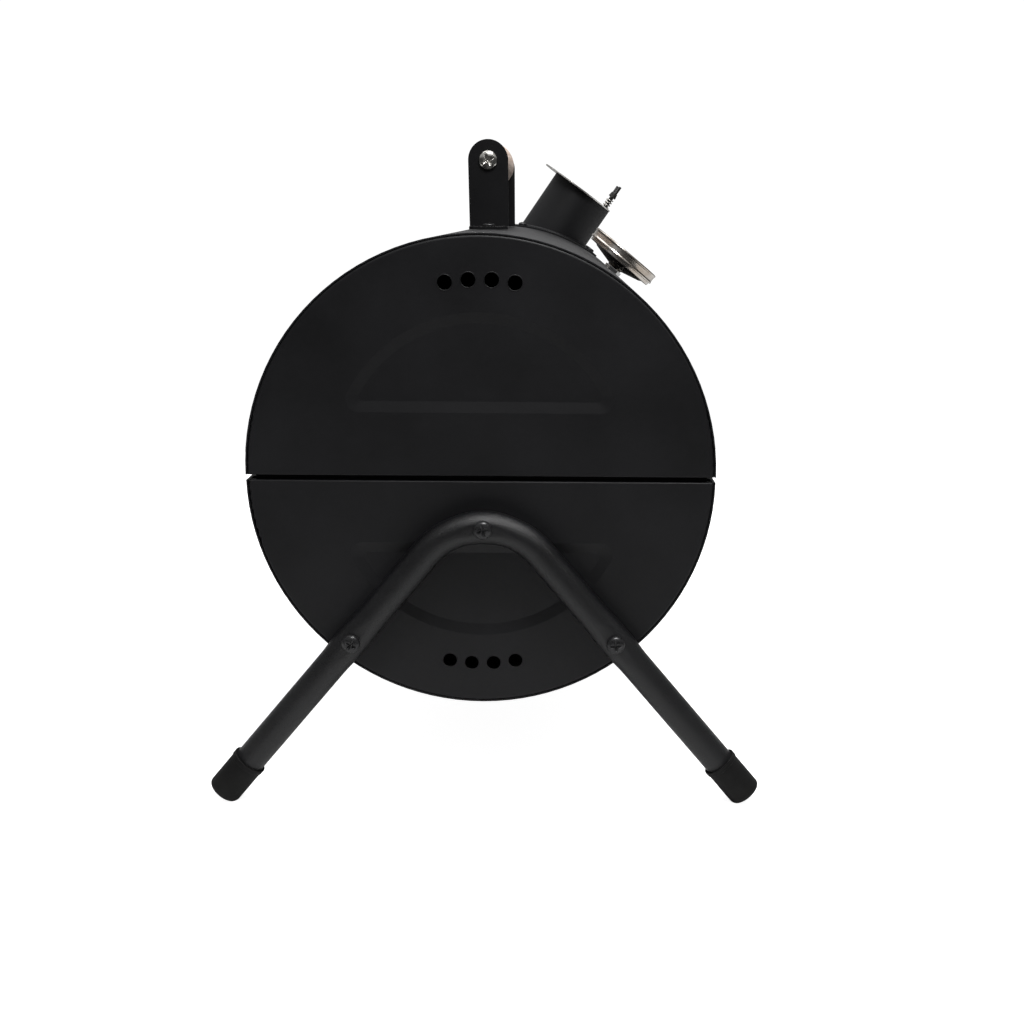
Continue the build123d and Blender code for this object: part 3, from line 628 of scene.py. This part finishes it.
def handle_screw(end, side):
    node = f"handle_screw_{end}"
    low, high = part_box(node)
    radius = (high.x - low.x) / 2
    height = GRIP_HEAD_HEIGHT
    turn = 0.5
    y = low.y + height if side < 0 else high.y - height
    centre = ((low.x + high.x) / 2, y, (low.z + high.z) / 2)
    place = facing(centre, (0, side, 0), (cos(turn), 0, sin(turn)))
    bm = bmesh.new()
    phillips_head(bm, place, radius, height, GRIP_SHANK_RADIUS, high.y - low.y - height - SHANK_GAP)
    made = piece_from(bm, f"handle_screw_head_{end}", "chrome_screw", "lid", radians(60))
    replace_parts(made, node)


def grip():
    """The turned grip: swelling to the middle, rounded at its ends and drilled for the screws."""
    low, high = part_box("handle_grip")
    half = (high.y - low.y) / 2
    middle_radius = (high.z - low.z) / 2
    taper = 4.1 * MM
    hole = 2.55 * MM
    hole_depth = 26 * MM
    place = facing((low + high) / 2, (0, 1, 0), (1, 0, 0))
    side = []
    steps = 28
    for i in range(steps + 1):
        t = 2 * i / steps - 1
        side.append((middle_radius - taper * t * t, t * half))
    corner = 2.5 * MM
    outline = [(hole, -half + hole_depth), (hole, -half), *side, (hole, half), (hole, half - hole_depth)]
    shaped = rounded(outline[1:4], corner)[:-1] + side[2:-2] + rounded(outline[-5:-1], corner)[1:]
    profile = [(0, -half + hole_depth), outline[0], *shaped, outline[-1], (0, half - hole_depth)]
    bm = bmesh.new()
    lathe(bm, profile, place, segments=96)
    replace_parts(piece_from(bm, "grip_turned", "grip_wood", "lid", radians(50)), "handle_grip")


def gauge_place():
    """The thermometer's own place, at its pivot, with Z out of the lid and X down towards the front."""
    joint = joints["thermometer_needle_turn"]
    outward = -Vector(joint["axis"])
    x = Vector((outward.z, 0, -outward.x))
    return facing(joint["pos_m"], outward, x)


def height_in(place, node):
    """(lowest, highest) of a CAD node along the place's own Z."""
    inverse = place.inverted()
    heights = [(inverse @ v.co).z for v in frame["nodes"][node].data.vertices]
    return min(heights), max(heights)


def radius_in(place, node):
    """How far a CAD node reaches from the place's own Z."""
    inverse = place.inverted()
    return max((inverse @ v.co).xy.length for v in frame["nodes"][node].data.vertices)


def thermometer_case(place):
    """The spun case: a neck, a shallow cone, a rolled shoulder and a wall that the bezel is pressed over."""
    back, front = height_in(place, "thermometer_case")
    outer = radius_in(place, "thermometer_case")
    wall = 1.2 * MM
    neck = 6.0 * MM
    cone = 22.0 * MM
    cone_share = 0.38
    cone_back = back + (front - back) * cone_share
    floor = cone_back + 1.3 * MM
    outside = [
        (0, back),
        (neck, back),
        (neck + 0.3 * MM, back + wall),
        (cone, cone_back),
        (cone + 1.4 * MM, cone_back + 1.0 * MM),
        (outer, cone_back + 1.2 * MM),
        (outer, front),
    ]
    inner = outer - wall
    inside = [
        (outer, front),
        (inner, front),
        (inner, floor + 1.1 * MM),
        (cone, floor),
        (0, floor),
    ]
    bm = bmesh.new()
    lathe(bm, rounded(outside, 0.8 * MM) + rounded(inside, 0.4 * MM)[1:], place, segments=96)
    made = piece_from(bm, "thermometer_case_spun", "gauge_steel", "lid", radians(45))
    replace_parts(made, "thermometer_case")


def thermometer_bezel(place):
    """The pressed bezel ring, with a rolled bead along its back edge and a rounded front edge."""
    back, front = height_in(place, "thermometer_bezel")
    outer = radius_in(place, "thermometer_bezel")
    case = radius_in(place, "thermometer_case") + 0.05 * MM
    window = case - 3.5 * MM
    bead = 0.7 * MM
    groove = outer - 0.5 * MM
    brow = outer - 0.1 * MM
    section = [
        (case, back + 0.1 * MM),
        (outer, back),
        (outer, back + 2 * bead),
        (groove, back + 3 * bead),
        (groove, front - 2.2 * MM),
        (brow, front - 1.6 * MM),
        (brow, front - 0.5 * MM),
        (outer - 1.4 * MM, front),
        (window, front - 0.1 * MM),
        (window, front - 0.9 * MM),
        (case, front - 1.0 * MM),
    ]
    bm = bmesh.new()
    outline = rounded([section[-1], *section, section[0]], 0.6 * MM)[1:-1]
    lathe(bm, outline, place, segments=96, closed=True)
    made = piece_from(bm, "thermometer_bezel_rolled", "gauge_steel", "lid", radians(45))
    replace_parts(made, "thermometer_bezel")


def add_block(bm, place, x0, x1, half_width, z0, z1):
    """A thin box from x0 to x1, for one printed line of the scale."""
    corners = [
        bm.verts.new(place @ Vector((x, y, z)))
        for z in (z0, z1)
        for x, y in ((x0, -half_width), (x1, -half_width), (x1, half_width), (x0, half_width))
    ]
    for face in ((3, 2, 1, 0), (4, 5, 6, 7), (0, 1, 5, 4), (1, 2, 6, 5), (2, 3, 7, 6), (3, 0, 4, 7)):
        bm.faces.new([corners[i] for i in face])


def add_number(bm, text, place):
    """The number as raised print, centred on the place and upright along its Y."""
    curve = bpy.data.curves.new("number", "FONT")
    curve.body = text
    curve.size = NUMBER_SIZE
    curve.align_x = "CENTER"
    curve.align_y = "CENTER"
    curve.extrude = 0.03 * MM
    holder = bpy.data.objects.new("number", curve)
    bpy.context.scene.collection.objects.link(holder)
    bpy.context.view_layer.update()
    mesh = bpy.data.meshes.new_from_object(holder.evaluated_get(bpy.context.evaluated_depsgraph_get()))
    mesh.transform(place)
    bm.from_mesh(mesh)
    bpy.data.objects.remove(holder)
    bpy.data.curves.remove(curve)
    bpy.data.meshes.remove(mesh)


def thermometer_scale(place):
    """Printed marks and numbers over 270 degrees, clockwise from down-left as the front sees it."""
    _, face = height_in(place, "thermometer_dial")
    rim = radius_in(place, "thermometer_dial")
    print_top = face + PRINT_THICKNESS
    travel = joints["thermometer_needle_turn"]["range_deg"][1]
    bm = bmesh.new()
    steps = (SCALE_COUNT - 1) * MINOR_STEPS
    number_circle = rim - 9.6 * MM
    number_height = face + 0.035 * MM
    for i in range(steps + 1):
        turned = place @ Matrix.Rotation(radians(SCALE_TURN - travel * i / steps), 4, "Z")
        reach, half_width = MAJOR_MARK if i % MINOR_STEPS == 0 else MINOR_MARK
        add_block(bm, turned, rim - reach, rim - SCALE_RING, half_width, face, print_top)
    for i in range(SCALE_COUNT):
        a = radians(SCALE_TURN - travel * i / (SCALE_COUNT - 1))
        centre = Vector((cos(a), sin(a), 0)) * number_circle + Vector((0, 0, number_height))
        upright = Matrix.Rotation(radians(90), 4, "Z")
        add_number(bm, str(SCALE_START + SCALE_STEP * i), place @ Matrix.Translation(centre) @ upright)
    ring_in, ring_out = rim - SCALE_RING, rim - SCALE_RING + SCALE_RING_WIDTH
    ring = [(ring_in, face), (ring_in, print_top), (ring_out, print_top), (ring_out, face)]
    lathe(bm, ring, place, segments=96, closed=True)
    piece_from(bm, "thermometer_scale", "gauge_face", "lid", material=materials["scale_ink"])


def vent_rings():
    """The small lip that punching and paint leave round each vent hole."""
    bead = 0.32 * MM
    bead_height = 0.8 * bead
    bead_circle = VENT_RADIUS + 0.1 * MM
    around = 12
    profile = []
    for i in range(around):
        a = tau * i / around
        profile.append((bead_circle + bead * cos(a), bead_height * sin(a)))
    for body, axis_side in (("lid", 1), ("base", -1)):
        bm = bmesh.new()
        for _, side in ENDS:
            for angle in VENT_ANGLES:
                a = radians(angle)
                centre = (VENT_CIRCLE * sin(a), side * end_y, seam_z + axis_side * VENT_CIRCLE * cos(a))
                lathe(bm, profile, facing(centre, (0, side, 0), (1, 0, 0)), segments=40, closed=True)
        piece_from(bm, f"vent_lips_{body}", "black_coat", body)


def chimney_axis():
    """(point on the lid's axis, outward direction, direction down the lid's front, the pipe's offset in that
    direction, its radius)."""
    joint = joints["damper_swing"]
    outward = Vector(joint["axis"])
    down = Vector((outward.z, 0, -outward.x))
    low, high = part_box("chimney_pipe")
    middle_y = (low.y + high.y) / 2
    radius = (high.y - low.y) / 2
    screw_from_middle = 25.2 * MM
    origin = Vector((0, middle_y, lid_axis_z))
    offset = (Vector(joint["pos_m"]) - origin).dot(down) - screw_from_middle
    return origin, outward, down, offset, radius


def chimney_weld():
    """A hand-laid weld bead round the chimney's foot, painted over with the rest."""
    origin, outward, down, offset, radius = chimney_axis()
    surface = lid_radius + PLATE_HEIGHT
    foot_radius = radius + 0.3 * MM
    bead = 1.5 * MM
    around = 14
    steps = 220
    ripples = 62
    path = []
    sizes = []
    for i in range(steps):
        a = tau * i / steps
        across = offset + foot_radius * cos(a)
        out = sqrt(surface**2 - across**2)
        point = origin + down * across + outward * out + Vector((0, foot_radius, 0)) * sin(a)
        side = (down * cos(a) + Vector((0, 1, 0)) * sin(a)).normalized()
        path.append((point, side, outward))
        wander = noise.noise(Vector((cos(a), sin(a), 0.3)) * 4)
        sizes.append(bead * (1 + 0.16 * wander + 0.12 * abs(sin(ripples * a / 2))))

    def section(i):
        angles = [tau * k / around for k in range(around)]
        return [(sizes[i] * cos(a), 0.85 * sizes[i] * sin(a)) for a in angles]

    bm = bmesh.new()
    sweep(bm, path, section, closed=True)
    piece_from(bm, "chimney_weld", "black_coat", "lid", radians(80))


def hinge_rivets():
    """Two domed rivets through each hinge leaf."""
    steps = 6
    sunk = 0.4 * MM
    overlap = 0.1 * MM
    dome = [(0, RIVET_HEIGHT)]
    for i in range(1, steps + 1):
        a = pi / 2 * i / steps
        dome.append((RIVET_HEAD * sin(a), RIVET_HEIGHT * cos(a)))
    dome.append((RIVET_HEAD, -sunk))
    leaf = lid_radius + PLATE_HEIGHT
    for body, side, axis_z in (("lid", 1, lid_axis_z), ("base", -1, bottom_axis_z)):
        part = "lid" if side > 0 else "bottom"
        bm = bmesh.new()
        for end, _ in ENDS:
            low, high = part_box(f"hinge_leaf_{part}_{end}")
            middle = (low.y + high.y) / 2
            rise = side * RIVET_FROM_AXIS
            outward = Vector((-sqrt(leaf**2 - rise**2), 0, rise)).normalized()
            for y in (-RIVET_ALONG, RIVET_ALONG):
                centre = outward * (leaf - overlap) + Vector((0, middle + y, axis_z))
                lathe(bm, dome, facing(centre, outward), segments=28)
        piece_from(bm, f"hinge_rivets_{body}", "black_screw", body)


def grate_welds(node, bar, frame_bar, count, slot):
    """A small nugget of weld where each cross bar meets the grate's frame."""
    low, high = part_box(node)
    half_x = (high.x - low.x) / 2 - frame_bar
    half_y = (high.y - low.y) / 2 - frame_bar
    top = high.z
    bm = bmesh.new()
    for k in range(count):
        y = (k - (count - 1) / 2) * 2 * half_y / (count + 1)
        for side in (-1, 1):
            centre = Vector((side * (half_x - 0.8 * frame_bar), y, top - bar))
            wander = 1 + 0.25 * noise.noise(Vector((k * 1.7, side * 3.1, 0.5)))
            size = 1.35 * bar * wander
            arc = [pi * i / 8 for i in range(1, 8)]
            profile = [(0, -size), *((size * sin(a), -size * cos(a)) for a in arc), (0, size)]
            lathe(bm, profile, facing(centre, (side, 0, 0), (0, 1, 0)), segments=12)
    piece_from(bm, f"{node}_welds", slot, node, radians(80))


def soften(node, voxel, rounds):
    """Rounds the corners of a small cast or forged CAD node, with modifiers only."""
    piece = frame["nodes"][node]
    remesh = piece.modifiers.new("voxels", "REMESH")
    remesh.mode = "VOXEL"
    remesh.voxel_size = voxel
    remesh.use_smooth_shade = True
    smooth = piece.modifiers.new("round", "SMOOTH")
    smooth.iterations = rounds
    smooth.factor = 0.5


def build_pieces():
    for end, side in ENDS:
        leg_tube(end, side)
        leg_screws(end, side)
        handle_screw(end, side)
    grip()
    gauge = gauge_place()
    thermometer_case(gauge)
    thermometer_bezel(gauge)
    thermometer_scale(gauge)
    vent_rings()
    chimney_weld()
    hinge_rivets()
    grate_welds("cooking_grate", bar=1.75 * MM, frame_bar=3 * MM, count=33, slot="cooking_wire")
    grate_welds("charcoal_grate", bar=2.5 * MM, frame_bar=3 * MM, count=23, slot="grate_wire")
    soften("wing_nut", voxel=0.3 * MM, rounds=8)


# ---------------------------------------------------------------- studio


def white_paper(name):
    """Matt white paper with a glow that only the camera sees, so that its shadows stay pale."""
    f = Finish(name)
    fibre = f.noise(400, detail=4)
    base = f.mixed(f.ranged(fibre, 0, 1), (0.76, 0.76, 0.76), (0.79, 0.79, 0.79))
    f.shader.inputs["Emission Color"].default_value = (1, 1, 1, 1)
    lift = f.node("ShaderNodeMath", operation="MULTIPLY")
    f.links.new(f.node("ShaderNodeLightPath").outputs["Is Camera Ray"], lift.inputs[0])
    lift.inputs[1].default_value = TABLE_LIFT
    f.links.new(lift.outputs[0], f.shader.inputs["Emission Strength"])
    return f.done(base, f.ranged(fibre, 0.85, 0.95), f.bump(fibre, 0.01 * MM))


def make_floor():
    """A round white table: its near edge is below the picture, its far edge lost in the white behind it."""
    middle = 0.3
    edge = TABLE_RADIUS + 5 * MM
    chamfer = 4 * MM
    bottom = -20 * MM
    profile = [(0, 0), (middle, 0), (TABLE_RADIUS, 0), (edge, -chamfer), (edge, bottom), (0, bottom)]
    bm = bmesh.new()
    lathe(bm, profile, Matrix.Translation(TABLE_CENTRE), segments=128)
    bmesh.ops.recalc_face_normals(bm, faces=bm.faces)
    mesh = bpy.data.meshes.new("table")
    bm.to_mesh(mesh)
    bm.free()
    table = bpy.data.objects.new("table", mesh)
    bpy.context.scene.collection.objects.link(table)
    paint(table, white_paper("table_white"))


def make_world():
    """White to the camera. As light it is dim low down, and brighter above and straight behind the grill."""
    world = bpy.data.worlds.new("studio")
    bpy.context.scene.world = world
    world.use_nodes = True
    nodes, links = world.node_tree.nodes, world.node_tree.links
    nodes.clear()
    direction = nodes.new("ShaderNodeTexCoord").outputs["Generated"]
    split = nodes.new("ShaderNodeSeparateXYZ")
    links.new(direction, split.inputs[0])

    def blend(value, start, end, low, high):
        """Goes smoothly from low to high as the value goes from start to end; high and low may be sockets."""
        step = nodes.new("ShaderNodeMapRange")
        step.interpolation_type = "SMOOTHSTEP"
        step.inputs["From Min"].default_value = start
        step.inputs["From Max"].default_value = end
        links.new(value, step.inputs["Value"])
        for name, level in (("To Min", low), ("To Max", high)):
            if isinstance(level, bpy.types.NodeSocket):
                links.new(level, step.inputs[name])
            else:
                step.inputs[name].default_value = level
        return step.outputs[0]

    front = blend(split.outputs["Z"], *ABOVE_BLEND, WORLD_FRONT, WORLD_ABOVE)
    back = blend(split.outputs["Y"], *BACK_BLEND, front, WORLD_BACK)
    dim = nodes.new("ShaderNodeBackground")
    links.new(back, dim.inputs["Strength"])
    white = nodes.new("ShaderNodeBackground")
    white.inputs["Strength"].default_value = WORLD_SEEN
    for node in (dim, white):
        node.inputs["Color"].default_value = (1, 1, 1, 1)
    seen = nodes.new("ShaderNodeLightPath").outputs["Is Camera Ray"]
    mix = nodes.new("ShaderNodeMixShader")
    links.new(seen, mix.inputs[0])
    links.new(dim.outputs[0], mix.inputs[1])
    links.new(white.outputs[0], mix.inputs[2])
    out = nodes.new("ShaderNodeOutputWorld")
    links.new(mix.outputs[0], out.inputs["Surface"])


def softbox(name, place, target, width, depth, power):
    light = bpy.data.lights.new(name, "AREA")
    light.shape = "RECTANGLE"
    light.size = width
    light.size_y = depth
    light.energy = power
    made = bpy.data.objects.new(name, light)
    made.location = place
    made.rotation_mode = "QUATERNION"
    made.rotation_quaternion = (Vector(target) - Vector(place)).to_track_quat("-Z", "Y")
    made.visible_camera = False
    bpy.context.scene.collection.objects.link(made)


def make_lights():
    softbox("overhead", (0, 0.45, 1.9), (0, 0.2, 0), width=2.0, depth=1.5, power=28)
    softbox("top_front", (0.2, -0.62, 1.15), (0, -0.28, 0.2), width=0.5, depth=0.2, power=11)


def make_camera():
    camera = bpy.data.cameras.new("camera")
    camera.lens = CAMERA_LENS
    camera.sensor_width = 36
    camera.shift_x, camera.shift_y = CAMERA_SHIFT
    camera.clip_start = 0.01
    made = bpy.data.objects.new("camera", camera)
    yaw, pitch = CAMERA_YAW, CAMERA_PITCH
    ahead = Vector((sin(yaw) * cos(pitch), cos(yaw) * cos(pitch), -sin(pitch)))
    level = Vector((cos(yaw), -sin(yaw), 0))
    down = ahead.cross(level)
    right = cos(CAMERA_ROLL) * level + sin(CAMERA_ROLL) * down
    below = -sin(CAMERA_ROLL) * level + cos(CAMERA_ROLL) * down
    turn = Matrix((right, -below, -ahead)).transposed().to_4x4()
    made.matrix_world = Matrix.Translation(CAMERA_PLACE) @ turn
    bpy.context.scene.collection.objects.link(made)
    bpy.context.scene.camera = made


bpy.context.scene.view_settings.view_transform = "Standard"
make_camera()
materials = make_materials()
paint_nodes()
build_pieces()
make_floor()
make_world()
make_lights()
